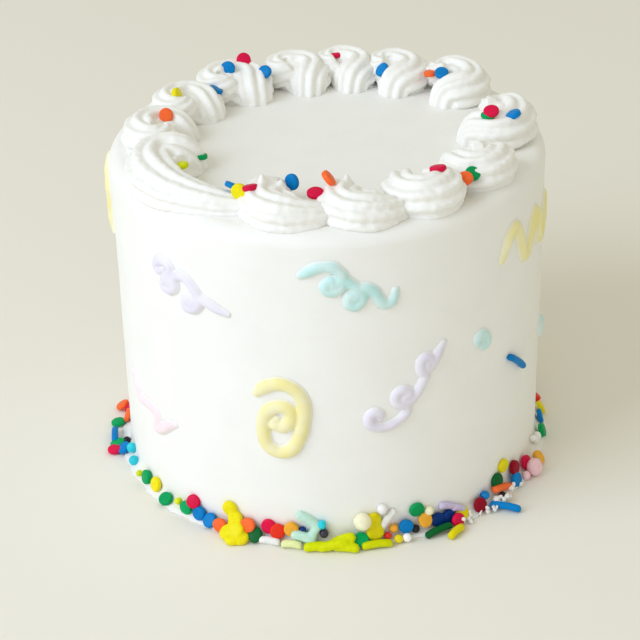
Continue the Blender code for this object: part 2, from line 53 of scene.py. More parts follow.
TOP_RINGS = 16
RING_WIDTH = 0.0032
HAIR = 0.0001  # a hair's breadth, by which a place may be off and still count
SIDE_SWAY = 0.0005
TOP_SWAY = 0.0004
ICING = (243, 242, 236)


def linear(colour):
    """A colour given as on a screen, 0 to 255, as the light values that a shader takes."""
    return [(v / 255 / 12.92 if v < 10 else ((v / 255 + 0.055) / 1.055) ** 2.4) for v in colour]


def pick(piece, kind, fits):
    """In edit mode, selects only the faces or edges of a piece whose middle fits a test."""
    bpy.ops.mesh.select_all(action="DESELECT")
    shape = bmesh.from_edit_mesh(piece.data)
    for part in (shape.faces if kind == "FACE" else shape.edges):
        middle = sum((v.co for v in part.verts), Vector()) / len(part.verts)
        if fits(middle):
            part.select_set(True)
    bmesh.update_edit_mesh(piece.data)


def buttercream(name, colour, smoothed):
    """Buttercream: soft, satin and slightly see-through, with a fine grain.

    Where it is smoothed it has faint streaks of the spatula, and its stain attribute holds the
    colour that has run into it from the sprinkles.
    """
    material = bpy.data.materials.new(name)
    material.use_nodes = True
    nodes = material.node_tree.nodes
    links = material.node_tree.links
    shader = nodes["Principled BSDF"]
    place = nodes.new("ShaderNodeTexCoord")
    cloud = nodes.new("ShaderNodeTexNoise")
    cloud.inputs["Scale"].default_value = 90
    cloud.inputs["Detail"].default_value = 3
    links.new(place.outputs["Object"], cloud.inputs["Vector"])
    tone = nodes.new("ShaderNodeMix")
    tone.data_type = "RGBA"
    tone.inputs["A"].default_value = (*[v * 0.965 for v in linear(colour)], 1)
    tone.inputs["B"].default_value = (*[min(1, v * 1.03) for v in linear(colour)], 1)
    links.new(cloud.outputs["Fac"], tone.inputs["Factor"])
    links.new(tone.outputs["Result"], shader.inputs["Base Color"])
    grain = nodes.new("ShaderNodeTexNoise")
    grain.inputs["Scale"].default_value = 1500
    grain.inputs["Detail"].default_value = 4
    links.new(place.outputs["Object"], grain.inputs["Vector"])
    bump = nodes.new("ShaderNodeBump")
    bump.inputs["Strength"].default_value = 0.35
    bump.inputs["Distance"].default_value = 0.0001
    links.new(grain.outputs["Fac"], bump.inputs["Height"])
    links.new(bump.outputs["Normal"], shader.inputs["Normal"])
    if smoothed:
        stain = nodes.new("ShaderNodeAttribute")
        stain.attribute_name = "stain"
        stained = nodes.new("ShaderNodeMix")
        stained.data_type = "RGBA"
        links.new(stain.outputs["Alpha"], stained.inputs["Factor"])
        links.new(tone.outputs["Result"], stained.inputs["A"])
        links.new(stain.outputs["Color"], stained.inputs["B"])
        links.new(stained.outputs["Result"], shader.inputs["Base Color"])
        stretch = nodes.new("ShaderNodeMapping")
        stretch.inputs["Scale"].default_value = (25, 60, 420)
        smear = nodes.new("ShaderNodeTexNoise")
        smear.inputs["Scale"].default_value = 1
        smear.inputs["Detail"].default_value = 5
        links.new(place.outputs["Object"], stretch.inputs["Vector"])
        links.new(stretch.outputs["Vector"], smear.inputs["Vector"])
        under = nodes.new("ShaderNodeBump")
        under.inputs["Strength"].default_value = 0.3
        under.inputs["Distance"].default_value = 0.0003
        links.new(smear.outputs["Fac"], under.inputs["Height"])
        links.new(under.outputs["Normal"], bump.inputs["Normal"])
    sheen = nodes.new("ShaderNodeMapRange")
    sheen.inputs["To Min"].default_value = 0.42
    sheen.inputs["To Max"].default_value = 0.62
    links.new(grain.outputs["Fac"], sheen.inputs["Value"])
    links.new(sheen.outputs["Result"], shader.inputs["Roughness"])
    shader.inputs["Subsurface Weight"].default_value = 0.2
    shader.inputs["Subsurface Radius"].default_value = (1.0, 0.93, 0.8)
    shader.inputs["Subsurface Scale"].default_value = 0.0015
    shader.inputs["Specular IOR Level"].default_value = 0.4
    return material


bpy.ops.object.select_all(action="DESELECT")
bpy.ops.mesh.primitive_cylinder_add(vertices=CAKE_SIDES, radius=CAKE_RADIUS, depth=CAKE_HEIGHT,
                                    location=(0, 0, CAKE_HEIGHT / 2))
cake = bpy.context.object
cake.name = "frosted_cake"
bpy.ops.object.transform_apply(location=True, rotation=False, scale=False)
bpy.ops.object.mode_set(mode="EDIT")
pick(cake, "EDGE", lambda at: at.z > CAKE_HEIGHT - HAIR
     and math.hypot(at.x, at.y) > CAKE_RADIUS - 0.001)
bpy.ops.mesh.bevel(offset=TOP_ROUNDING, segments=8, affect="EDGES")
height = FOOT_LIP
while height < CAKE_HEIGHT - TOP_ROUNDING - TALLEST_BAND:
    bpy.ops.mesh.select_all(action="SELECT")
    bpy.ops.mesh.bisect(plane_co=(0, 0, height), plane_no=(0, 0, 1))
    height += min(TALLEST_BAND, 0.0004 + height * 0.12)
for level in (0.0, CAKE_HEIGHT):
    pick(cake, "FACE", lambda at: abs(at.z - level) < HAIR / 10 and math.hypot(at.x, at.y) < 0.01)
    for ring in range(TOP_RINGS):
        bpy.ops.mesh.inset(thickness=RING_WIDTH)
    bpy.ops.mesh.poke()
bpy.ops.object.mode_set(mode="OBJECT")
for vertex in cake.data.vertices:
    x, y, z = vertex.co
    reach = math.hypot(x, y)
    if reach < HAIR:
        continue
    outward = Vector((x, y, 0)) / reach
    sway = noise.noise(Vector((x, y, z)) * 28) * 0.5
    sway += noise.noise(Vector((x, y, z * 1.6)) * 75) * 0.22
    if reach > CAKE_RADIUS - HAIR:
        share = min(1.0, max(0.0, (FOOT_HEIGHT - z) / (FOOT_HEIGHT - FOOT_LIP)))
        flare = (FOOT_RADIUS - CAKE_RADIUS) * (1 - math.sqrt(1 - share ** 2))
        lumps = 1 + 0.35 * noise.noise(outward * 9) + 0.2 * noise.noise(outward * 31)
        vertex.co += outward * (flare * lumps)
    if z > FOOT_HEIGHT:
        vertex.co += outward * (sway * SIDE_SWAY * min(1, reach / CAKE_RADIUS) ** 4)
    if z > CAKE_HEIGHT - HAIR:
        vertex.co.z += TOP_SWAY * sway
bpy.ops.object.shade_smooth()
cake.data.materials.append(buttercream("smoothed_buttercream", ICING, smoothed=True))
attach(cake, "root")
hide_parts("cake")

# The piped swirls. A ring of stars of the same buttercream, pushed out of a piping bag with a
# ridged tip: each starts on the inner side, swings round the outer side and lies on the one
# before it. Those on the right end in a lifted tip, those on the left and in front in a tail.
TIP_RIDGES = 10
TIP_GROOVE = 0.21
SWIRL_VOXEL = 0.00036
SWIRL_SMOOTHING = 3
RIPPLE = 0.00018
RIPPLED_DEPTH = 0.003
TORN_FROM_MM = 49
SUNK = 0.0035
START_ANGLE = 150
LOOP_RADIUS_MM = 5.0
LOOP_STEPS = 12
# azimuth in degrees, ring radius in mm, size, stretch along the ring, end angle, drift of the
# tail, lift and thickness of its tip in mm
SWIRLS = (
    (-58, 45.0, 1.05, 1.20, 425, 0, 1.0, 2.8),
    (-33, 44.5, 1.00, 1.25, 440, 0, 3.5, 1.5),
    (2, 43.5, 1.10, 1.45, 440, 0, 4.0, 1.5),
    (40.5, 43.5, 1.03, 1.45, 440, 0, 3.5, 1.4),
    (63.5, 39.5, 1.00, 1.15, 420, 0, 0.8, 3.2),
    (84, 38.5, 0.98, 1.15, 420, 0, 0.8, 3.2),
    (105, 36.5, 1.00, 1.15, 415, 0, 0.5, 3.4),
    (134, 37.5, 1.07, 1.30, 415, 0, 0.8, 3.2),
    (160, 39.5, 1.02, 1.20, 415, 0, 0.8, 3.2),
    (185, 42.5, 1.05, 1.25, 420, 0, 0.8, 3.0),
    (212, 45.0, 1.25, 1.30, 350, 20, 0.0, 2.4),
    (257, 45.0, 1.00, 1.30, 365, 6, 0.0, 2.2),
    (281, 45.0, 1.00, 1.25, 365, 5, 0.0, 2.2),
)
# how the bag fills the middle before it starts the loop: angle from the start in degrees, reach
# as a share of the loop, height and thickness in mm
CORE = (
    (-25, -0.55, 2.8, 3.6), (-25, -0.1, 2.8, 3.9), (-25, 0.6, 0.4, 4.3),
    (-25, 1.2, -1.5, 4.6), (-22, 1.15, 0.4, 5.0), (-16, 1.05, 2.0, 5.5),
)
# small peaks where the bag was pulled away: swirl, place (x, y) in mm, height in mm, breadth in mm
PEAKS = (
    (12, -15.6, -41.5, 2.2, 1.6), (12, -11.0, -40.5, 1.6, 1.8), (13, 4.6, -41.0, 1.4, 1.9),
)


def ring_point(azimuth, radius, height):
    """The point at an azimuth in degrees, a distance from the axis and a height."""
    angle = math.radians(azimuth)
    return Vector((radius * math.cos(angle), radius * math.sin(angle), height))


def piping_tip(name, ridges, groove):
    """The outline of a piping tip, 1 m in radius: a curve for ropes of icing to be swept with."""
    bpy.ops.object.select_all(action="DESELECT")
    bpy.ops.curve.primitive_bezier_circle_add(radius=1)
    tip = bpy.context.object
    tip.name = name
    tip.data.splines.clear()
    outline = tip.data.splines.new("POLY")
    count = ridges * 8 if groove else ridges
    outline.points.add(count - 1)
    for index, knot in enumerate(outline.points):
        angle = 2 * math.pi * index / count
        radius = 1 - groove * (1 - abs(math.cos(angle * ridges / 2)))
        knot.co = (radius * math.cos(angle), radius * math.sin(angle), 0, 1)
    outline.use_cyclic_u = True
    return tip


def run_into_itself(piece, voxel, smoothing):
    """Merges a piece wherever it lies on itself, and softens what is left."""
    merge = piece.modifiers.new("merge", "REMESH")
    merge.mode = "VOXEL"
    merge.voxel_size = voxel
    merge.use_smooth_shade = True
    soften = piece.modifiers.new("soften", "SMOOTH")
    soften.factor = 0.5
    soften.iterations = smoothing
    for step in ("merge", "soften"):
        bpy.ops.object.modifier_apply(modifier=step)


def squeeze(name, line, tip, voxel, smoothing, foot=0.0):
    """A rope of icing squeezed along (place, radius) pairs, merged where it lies on itself.

    It is flat below at the height of its foot.
    """
    bpy.ops.object.select_all(action="DESELECT")
    bpy.ops.curve.primitive_nurbs_path_add(radius=1)
    rope = bpy.context.object
    rope.name = name
    way = rope.data.splines[0]
    way.points.add(len(line) - len(way.points))
    for knot, (place, radius) in zip(way.points, line):
        knot.co = (*place, 1)
        knot.radius = radius
    way.order_u = 4
    way.use_endpoint_u = True
    rope.data.resolution_u = 10
    rope.data.bevel_mode = "OBJECT"
    rope.data.bevel_object = tip
    rope.data.use_fill_caps = True
    bpy.ops.object.convert(target="MESH")
    bpy.ops.object.mode_set(mode="EDIT")
    bpy.ops.mesh.select_all(action="SELECT")
    bpy.ops.mesh.remove_doubles(threshold=0.00001)
    bpy.ops.mesh.normals_make_consistent(inside=False)
    bpy.ops.object.mode_set(mode="OBJECT")
    for vertex in rope.data.vertices:
        vertex.co.z = max(foot, vertex.co.z)
    run_into_itself(rope, voxel, smoothing)
    return rope


def swirl_line(azimuth, ring, size, stretch, end_angle, drift, tip_lift, tip_radius):
    """The way of the bag for one swirl, as (place, rope radius) pairs."""
    loop = LOOP_RADIUS_MM * size
    line = []

    def add(angle, reach, shift, height, thickness):
        turn = math.radians(angle)
        along = math.cos(turn) * reach * stretch + shift
        inward = math.sin(turn) * reach
        place = ring_point(azimuth + math.degrees(along / ring), (ring - inward) / 1000,
                           CAKE_HEIGHT + height / 1000)
        line.append((place, thickness * size / 1000))

    for angle, reach, height, thickness in CORE:
        add(START_ANGLE + angle, loop * reach, 0.0, height, thickness)
    # a swirl with a tail stays wide and sinks, the others wind inwards and rise
    curl = 0.25 if drift else 0.85
    rise = -1.2 if drift else 1.8
    for index in range(LOOP_STEPS + 1):
        share = index / LOOP_STEPS
        height = 2.4 + rise * share + tip_lift * max(0.0, share - 0.6) ** 1.5 * 4
        thickness = 5.8 - 0.4 * share - (5.4 - tip_radius) * max(0.0, share - 0.5) / 0.5
        add(START_ANGLE + (end_angle - START_ANGLE) * share, loop * (1 - curl * share ** 2),
            drift * share ** 2, height, thickness)
    return line


ridged_tip = piping_tip("ridged_tip", TIP_RIDGES, TIP_GROOVE)
piped_icing = buttercream("piped_buttercream", ICING, smoothed=False)
swirls = []
for number, values in enumerate(SWIRLS, 1):
    swirl = squeeze(f"piped_swirl_{number:02d}", swirl_line(*values), ridged_tip, SWIRL_VOXEL,
                    SWIRL_SMOOTHING, CAKE_HEIGHT - SUNK)
    ragged = [RIPPLE * (noise.noise(vertex.co * 170) + 0.7 * noise.noise(vertex.co * 620))
              for vertex in swirl.data.vertices]
    outward = [vertex.normal.copy() for vertex in swirl.data.vertices]
    for vertex, swell, normal in zip(swirl.data.vertices, ragged, outward):
        if vertex.co.z > CAKE_HEIGHT - RIPPLED_DEPTH:
            torn = max(0.0, math.hypot(vertex.co.x, vertex.co.y) * 1000 - TORN_FROM_MM) / 4
            vertex.co += normal * (swell * (1 + min(0.7, torn)))
        for owner, x, y, height, breadth in PEAKS:
            gap = math.hypot(vertex.co.x * 1000 - x, vertex.co.y * 1000 - y) / breadth
            if owner == number and gap < 1 and normal.z > 0:
                vertex.co.z += height / 1000 * (1 - gap) ** 1.5
    swirl.data.materials.append(piped_icing)
    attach(swirl, "root")
    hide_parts(f"swirl_{number:02d}")
    swirls.append(swirl)

# The piped streamers. Thin strokes of pastel icing from a small round tip, curled as they are
# laid on the side, so that the rope crosses itself and sinks together into soft blobs.
STREAMER_COLOURS = {
    "yellow": (241, 231, 160),
    "aqua": (192, 230, 226),
    "lavender": (227, 222, 235),
    "pink": (248, 224, 229),
}
STROKES = {
    "curls": ((-7, 3.9), (-8.7, 2.6), (-9.8, 4), (-7.9, 5.7), (-5.1, 5.4), (-4.4, 3.6),
              (-5.8, 1.6), (-7.5, -0.6), (-5.7, -1.7), (-3.4, -0.2), (-3.4, 1.8), (-5.2, 0.4),
              (-3.2, 2.6), (-1.2, 3.8), (1, 3.2), (3, 1.3), (4.2, -0.2), (4.4, -2.1), (2.8, -4.1),
              (0.4, -4.5), (-0.2, -2.8), (1.3, -1.6), (2, -2.9), (4.2, -0.9), (7, -1.4),
              (9.5, -2.4), (13, -3.3)),
    "waves": ((-11.5, 3), (-9.7, 4), (-7.5, 5.2), (-5, 5.8), (-2.8, 5.3), (-1.2, 3.4), (-1, 1.3),
              (-2.5, -0.8), (-4.5, -0.8), (-5.1, 0.7), (-3.7, 2), (-2.9, 0.8), (-1, 2.2),
              (1.2, 0.7), (3, -1.2), (3.6, -3.2), (2.2, -5.1), (0.4, -4.4), (0.5, -2.3), (2, -2.8),
              (2.4, -0.9), (4.5, -0.4), (6.5, -1.7), (7.5, -3.7), (9, -5.3), (11, -4.7),
              (11.8, -1.3)),
    "spiral": ((-6.7, 5.5), (-5, 7.5), (-3, 8.9), (-0.5, 9.6), (1.8, 9.3), (3.8, 8), (5.3, 5.6),
               (5.7, 2.5), (5.3, -1), (4.5, -4.6), (3.2, -7.8), (1, -9.9), (-1.7, -10), (-4, -8.3),
               (-4.8, -4.9), (-4.6, -1), (-3.4, 1.6), (-1.3, 3), (1, 3.2), (2.4, 1.7), (2.2, -0.5),
               (0.8, -2.3), (-0.9, -2.6), (-1.9, -1.5), (-0.7, 0)),
    "loops": ((-8, -7.3), (-7.4, -5.9), (-8.9, -4.8), (-10.3, -6.1), (-9.8, -8.3), (-7.6, -9.4),
              (-5.2, -9.2), (-2.8, -8.1), (-0.8, -6.3), (-1, -4.3), (-3.3, -2.9), (-3.5, -0.7),
              (-1.7, 0.4), (0, -1), (-1.4, -1.8), (0, -3), (1.5, -2), (3, 0.5), (4.2, 3),
              (3.2, 4.9), (3, 7.3), (4.4, 8.3), (6, 7.2), (4.6, 6.2), (5.5, 5), (7, 7), (8, 9),
              (9.7, 11.5)),
    "zigzag": ((-9, 6.5), (-6.5, 5), (-4.5, 3), (-3.5, 0.8), (-0.5, 0.7), (2.5, 1.2), (5, 0),
               (5.5, -2.2), (4.2, -4.5), (7, -3.7), (10.5, -1), (13.5, 0.5)),
    "peaks": ((-14.5, -2), (-13, 1), (-11.5, 4), (-8.5, 6), (-6.5, 3), (-5, -1), (-3.5, -4.5),
              (-1.5, -3.5), (0.5, 0.5), (3, 4.5), (5, 4), (6, 0), (7.5, -4.5), (10, -3), (13, 1),
              (17, 4.5)),
    "bend": ((-1, 11), (1.2, 8), (1.8, 4), (0.8, 0), (-0.5, -4), (-1, -8), (-0.5, -11)),
    "comma": ((-0.6, -1.2), (-1.7, 0.7), (-0.6, 2.3), (1.1, 1.4), (1.9, -0.4), (0.6, -1.5),
              (0.1, 0.3)),
}
# stroke, colour, azimuth in degrees and height in mm of its middle, turn in degrees, size, rope
# radius in mm
STREAMERS = (
    ("curls", "lavender", -129, 67, 0, 1.0, 1.15),
    ("waves", "aqua", -86, 73.5, 0, 1.0, 1.2),
    ("spiral", "yellow", -103, 37, 0, 1.0, 1.5),
    ("loops", "lavender", -70.5, 43, 0, 1.0, 1.1),
    ("comma", "aqua", -48.5, 50, 0, 1.0, 1.15),
    ("peaks", "yellow", -27, 71, 0, 1.0, 1.35),
    ("comma", "aqua", -9, 35, 60, 1.0, 1.2),
    ("bend", "yellow", -179, 73, 8, 1.0, 1.7),
    ("zigzag", "pink", -149, 25.5, 0, 1.0, 1.2),
    ("waves", "aqua", 14, 76, 10, 0.9, 1.3),
    ("zigzag", "pink", 24, 40, 190, 1.0, 1.25),
    ("spiral", "lavender", 52, 62, 150, 0.8, 1.3),
    ("curls", "yellow", 62, 33, 200, 1.0, 1.3),
    ("loops", "aqua", 88, 60, 30, 1.0, 1.25),
    ("peaks", "pink", 110, 34, -8, 0.9, 1.3),
    ("curls", "lavender", 132, 67, 12, 1.0, 1.25),
    ("comma", "aqua", 146, 46, 20, 1.0, 1.2),
)
STREAMER_VOXEL = 0.00025
STREAMER_SMOOTHING = 9
STANDING_OFF = 0.1
FLATNESS = 0.84
MELTED = 0.001
SPREAD = 0.0004
OUTSIDE = 0.07


def through(points, steps):
    """Points along a smooth curve that passes through every given point."""
    ends = [points[0], *points, points[-1]]
    line = []
    for index in range(len(points) - 1):
        before, start, end, after = (Vector(point) for point in ends[index:index + 4])
        for step in range(steps):
            t = step / steps
            line.append((before * (2 * t ** 2 - t - t ** 3) + start * (3 * t ** 3 - 5 * t ** 2 + 2)
                         + end * (4 * t ** 2 + t - 3 * t ** 3) + after * (t ** 3 - t ** 2)) / 2)
    line.append(Vector(points[-1]))
    return line


def streamer_line(stroke, azimuth, height, turn, size, radius):
    """A stroke wrapped round the cake's side, as (place, rope radius) pairs."""
    flat = through(STROKES[stroke], 4)
    angle = math.radians(turn)
    line = []
    for index, point in enumerate(flat):
        along = (point.x * math.cos(angle) - point.y * math.sin(angle)) * size
        up = (point.x * math.sin(angle) + point.y * math.cos(angle)) * size
        end = min(index, len(flat) - 1 - index)
        # uneven by an eighth, and thinner at both ends
        swell = 1 + 0.12 * noise.noise(Vector((index * 0.37, azimuth, height)))
        thickness = radius * swell * min(1.15, 0.5 + 0.13 * end)
        place = ring_point(azimuth + math.degrees(along / (CAKE_RADIUS * 1000)),
                           CAKE_RADIUS + STANDING_OFF * radius / 1000, (height + up) / 1000)
        line.append((place, thickness / 1000))
    return line


def surface(piece, shift=Vector()):
    """A search tree of a piece's faces, moved by a shift."""
    return BVHTree.FromPolygons([vertex.co + shift for vertex in piece.data.vertices],
                                [face.vertices for face in piece.data.polygons])


def tinted_icing(colour):
    """Pastel icing: the same soft buttercream, tinted, a little paler where it is thin."""
    material = buttercream(colour + "_buttercream", STREAMER_COLOURS[colour], smoothed=False)
    shader = material.node_tree.nodes["Principled BSDF"]
    nodes = material.node_tree.nodes
    links = material.node_tree.links
    full = shader.inputs["Base Color"].links[0].from_socket
    thickness = nodes.new("ShaderNodeAttribute")
    thickness.attribute_name = "thickness"
    fade = nodes.new("ShaderNodeMix")
    fade.data_type = "RGBA"
    fade.inputs["A"].default_value = (*linear(ICING), 1)
    links.new(thickness.outputs["Fac"], fade.inputs["Factor"])
    links.new(full, fade.inputs["B"])
    links.new(fade.outputs["Result"], shader.inputs["Base Color"])
    return material


round_tip = piping_tip("round_tip", 16, 0)
icing_wall = surface(cake)
tinted = {colour: tinted_icing(colour) for colour in STREAMER_COLOURS}
for number, (stroke, colour, *values) in enumerate(STREAMERS, 1):
    streamer = squeeze(f"piped_streamer_{number:02d}", streamer_line(stroke, *values), round_tip,
                       STREAMER_VOXEL, STREAMER_SMOOTHING)
    thickness = streamer.data.attributes.new("thickness", "FLOAT", "POINT")
    sides = [vertex.normal.copy() for vertex in streamer.data.vertices]
    for vertex, side, mark in zip(streamer.data.vertices, sides, thickness.data):
        outward = Vector((vertex.co.x, vertex.co.y, 0)).normalized()
        start = outward * OUTSIDE + Vector((0, 0, vertex.co.z))
        wall = OUTSIDE - icing_wall.ray_cast(start, -outward)[3]
        above = vertex.co.dot(outward) - wall
        melt = min(1.0, max(0.0, 1 - above / MELTED)) ** 2
        vertex.co += (side - outward * side.dot(outward)) * (melt * SPREAD)
        vertex.co -= outward * (max(0.0, above) * (1 - FLATNESS))
        cover = min(1.0, max(0.35, above / MELTED * 1.2))
        mark.value = cover * (0.82 + 0.36 * noise.noise(vertex.co * 260))
    streamer.data.materials.append(tinted[colour])
    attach(streamer, "root")
    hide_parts(f"streamer_{number:02d}")
bpy.data.objects.remove(ridged_tip)
bpy.data.objects.remove(round_tip)

# The confetti on the swirls. Flat round sugar discs, just under 4 mm across, dropped on to the
# icing while it is soft. They lie at all angles, some on edge, pressed in a little.
DISC_RADIUS = 0.00195
DISC_THICKNESS = 0.00135
EYE = Vector((0.0, -0.448382, 0.286797))  # where the photograph was taken from
AIM_HEIGHT = 0.094
CLING = 0.0012
PROUD = 0.0008
SUGAR = {
    "crimson": (218, 18, 70), "vermilion": (236, 56, 34), "orange": (255, 112, 54),
    "amber": (246, 178, 56), "yellow": (234, 220, 18), "lime": (214, 222, 0),
    "lime_pale": (228, 234, 168), "green": (0, 160, 88), "forest": (6, 98, 44),
    "mint": (196, 232, 214), "aqua": (40, 204, 220), "blue": (0, 126, 196),
    "navy": (6, 54, 124), "plum": (64, 58, 74), "black": (34, 32, 34),
    "wine": (150, 10, 36), "pink": (238, 196, 200), "lavender": (214, 202, 232),
    "cream": (243, 238, 202), "white": (244, 243, 238),
}
# place (x, y) in mm at the height of the swirls, the way its face leans as seen from the front
# (0 = right, 90 = up) and how far in degrees, how deep it is pressed in (below 0: how far it
# stands off) in mm, colour
CONFETTI = (
    (-22.2, 37.5, 90, 10, 0.2, "crimson"), (-26.3, 32, 200, 15, 0.3, "blue"),
    (-16.3, 28.6, 150, 40, -0.2, "blue"), (-29, 17, 64, 74, 0.1, "blue"),
    (-39, 14, 8, 66, -0.5, "yellow"), (-41, 0.8, 90, 15, 0.0, "orange"),
    (-31, -25, 90, 78, 2.1, "green"), (-35.5, -30, 98, 75, 1.0, "lime"),
    (-22.3, -38.6, 64, 87, 0.0, "blue"), (-20.8, -45.2, 225, 35, -1.7, "yellow"),
    (-18.4, -43.2, 98, 82, 0.9, "crimson"), (-7.5, -39.4, 195, 42, -0.2, "blue"),
    (-3, -47, 95, 50, 0.0, "crimson"), (0.2, -39, 38, 74, -1.5, "orange"),
    (3, 40, 90, 80, 1.2, "crimson"), (15.2, 28.4, 138, 58, 0.2, "blue"),
    (28, 25, 100, 74, 0.2, "orange"), (31, 25, 90, 48, -0.3, "blue"),
    (42, -1.4, 100, 42, -0.6, "crimson"), (41, -4.0, 88, 76, 0.9, "green"),
    (47.4, -3.8, 117, 70, 0.0, "blue"), (26.4, -35, 98, 76, 0.0, "crimson"),
    (32.4, -41, 115, 35, -2.1, "orange"), (34.5, -38.3, 60, 40, 1.0, "green"),
)
chance = random.Random(11)


def leaning(place, way, lean):
    """Axes at a place: the face looks at the eye, then leans over the way given, in degrees."""
    back = (EYE - place).normalized()
    right = Vector((0, 0, 1)).cross(back).normalized()
    up = back.cross(right)
    aside = right * math.cos(math.radians(way)) + up * math.sin(math.radians(way))
    face = back * math.cos(math.radians(lean)) + aside * math.sin(math.radians(lean))
    side = face.cross(up if abs(face.dot(up)) < 0.9 else right).normalized()
    return Matrix((face, side, face.cross(side))).transposed().to_4x4()


def sugar(name, roughness, coat):
    """Coloured sugar under a thin glaze. The colour is each sprinkle's own, slightly mottled."""
    material = bpy.data.materials.new(name)
    material.use_nodes = True
    nodes = material.node_tree.nodes
    links = material.node_tree.links
    shader = nodes["Principled BSDF"]
    place = nodes.new("ShaderNodeTexCoord")
    dye = nodes.new("ShaderNodeAttribute")
    dye.attribute_name = "dye"
    mottle = nodes.new("ShaderNodeTexNoise")
    mottle.inputs["Scale"].default_value = 900
    mottle.inputs["Detail"].default_value = 3
    links.new(place.outputs["Object"], mottle.inputs["Vector"])
    depth = nodes.new("ShaderNodeMapRange")
    depth.inputs["To Min"].default_value = 0.82
    depth.inputs["To Max"].default_value = 1.12
    links.new(mottle.outputs["Fac"], depth.inputs["Value"])
    shade = nodes.new("ShaderNodeVectorMath")
    shade.operation = "SCALE"
    links.new(dye.outputs["Color"], shade.inputs["Vector"])
    links.new(depth.outputs["Result"], shade.inputs["Scale"])
    links.new(shade.outputs["Vector"], shader.inputs["Base Color"])
    bump = nodes.new("ShaderNodeBump")
    bump.inputs["Strength"].default_value = 0.25
    bump.inputs["Distance"].default_value = 0.00012
    links.new(mottle.outputs["Fac"], bump.inputs["Height"])
    links.new(bump.outputs["Normal"], shader.inputs["Normal"])
    shader.inputs["Roughness"].default_value = roughness
    shader.inputs["Coat Weight"].default_value = coat
    shader.inputs["Coat Roughness"].default_value = 0.15
    shader.inputs["Specular IOR Level"].default_value = 0.12
    shader.inputs["Subsurface Weight"].default_value = 0.15
    shader.inputs["Subsurface Scale"].default_value = 0.0006
    return material


def sugar_disc():
    """One confetti disc with softly rounded edges, flat faces along X, to copy from."""
    bpy.ops.object.select_all(action="DESELECT")
    bpy.ops.mesh.primitive_cylinder_add(vertices=20, radius=DISC_RADIUS, depth=DISC_THICKNESS,
                                        rotation=(0, math.pi / 2, 0))
    disc = bpy.context.object
    bpy.ops.object.transform_apply(rotation=True)
    bpy.ops.object.mode_set(mode="EDIT")
    pick(disc, "EDGE", lambda at: abs(at.x) > DISC_THICKNESS * 0.49)
    bpy.ops.mesh.bevel(offset=0.00042, segments=3, affect="EDGES")
    bpy.ops.object.mode_set(mode="OBJECT")
    bpy.ops.object.shade_smooth()
    return disc


def give_dye(mesh, colour):
    """Writes a sprinkle's own colour on its mesh, a little stronger or weaker than its kind."""
    dye = mesh.attributes.new("dye", "FLOAT_COLOR", "POINT")
    strength = chance.uniform(0.92, 1.08)
    value = [min(1.0, part * strength) for part in linear(SUGAR[colour])]
    dye.data.foreach_set("color", [*value, 1.0] * len(mesh.vertices))


def copy_of(model, matrix, colour):
    """A sprinkle copied from its model, put in place, slightly uneven, with its own dye."""
    mesh = model.data.copy()
    uneven = Matrix.Diagonal((*[chance.uniform(0.93, 1.07) for axis in range(3)], 1))
    mesh.transform(matrix @ uneven)
    give_dye(mesh, colour)
    copy = bpy.data.objects.new("sprinkle", mesh)
    bpy.context.scene.collection.objects.link(copy)
    return copy


def joined(copies):
    """One object out of several."""
    bpy.ops.object.select_all(action="DESELECT")
    for copy in copies:
        copy.select_set(True)
    bpy.context.view_layer.objects.active = copies[0]
    bpy.ops.object.join()
    return bpy.context.object


def gathered(name, copies, material, slot, *nodes):
    """Joins the copies of one kind of sprinkle into one piece of the object."""
    piece = joined(copies)
    piece.name = name
    piece.data.materials.append(material)
    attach(piece, "root")
    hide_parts(*nodes)


def on_the_swirls(aim):
    """Where the line of sight to a place meets the swirls, or else where it passes closest."""
    sight = (aim - EYE).normalized()
    hits = [hit for hit in (tree.ray_cast(EYE, sight) for tree in icing_top) if hit[0]]
    if hits:
        return min(hits, key=lambda hit: hit[3])[0]
    passing = [aim + sight * (step * 0.0005) for step in range(-30, 31)]
    nearest = [min((tree.find_nearest(place) for tree in icing_top), key=lambda hit: hit[3])
               for place in passing]
    place, hit = min(zip(passing, nearest), key=lambda pair: pair[1][3])
    return hit[0] + (place - hit[0]) * min(1.0, CLING / hit[3])


disc = sugar_disc()
icing_top = [surface(piece) for piece in swirls]
discs = []
for x, y, way, lean, depth, colour in CONFETTI:
    aim = Vector((x / 1000, y / 1000, AIM_HEIGHT))
    place = on_the_swirls(aim)
    place += (EYE - place).normalized() * (PROUD - depth / 1000)
    discs.append(copy_of(disc, Matrix.Translation(place) @ leaning(place, way, lean), colour))
confetti_sugar = sugar("confetti_sugar", 0.42, 0.0)
swirl_nodes = [f"swirl_{number:02d}" for number in range(1, len(SWIRLS) + 1)]
gathered("confetti", discs, confetti_sugar, "piped_icing", *swirl_nodes)

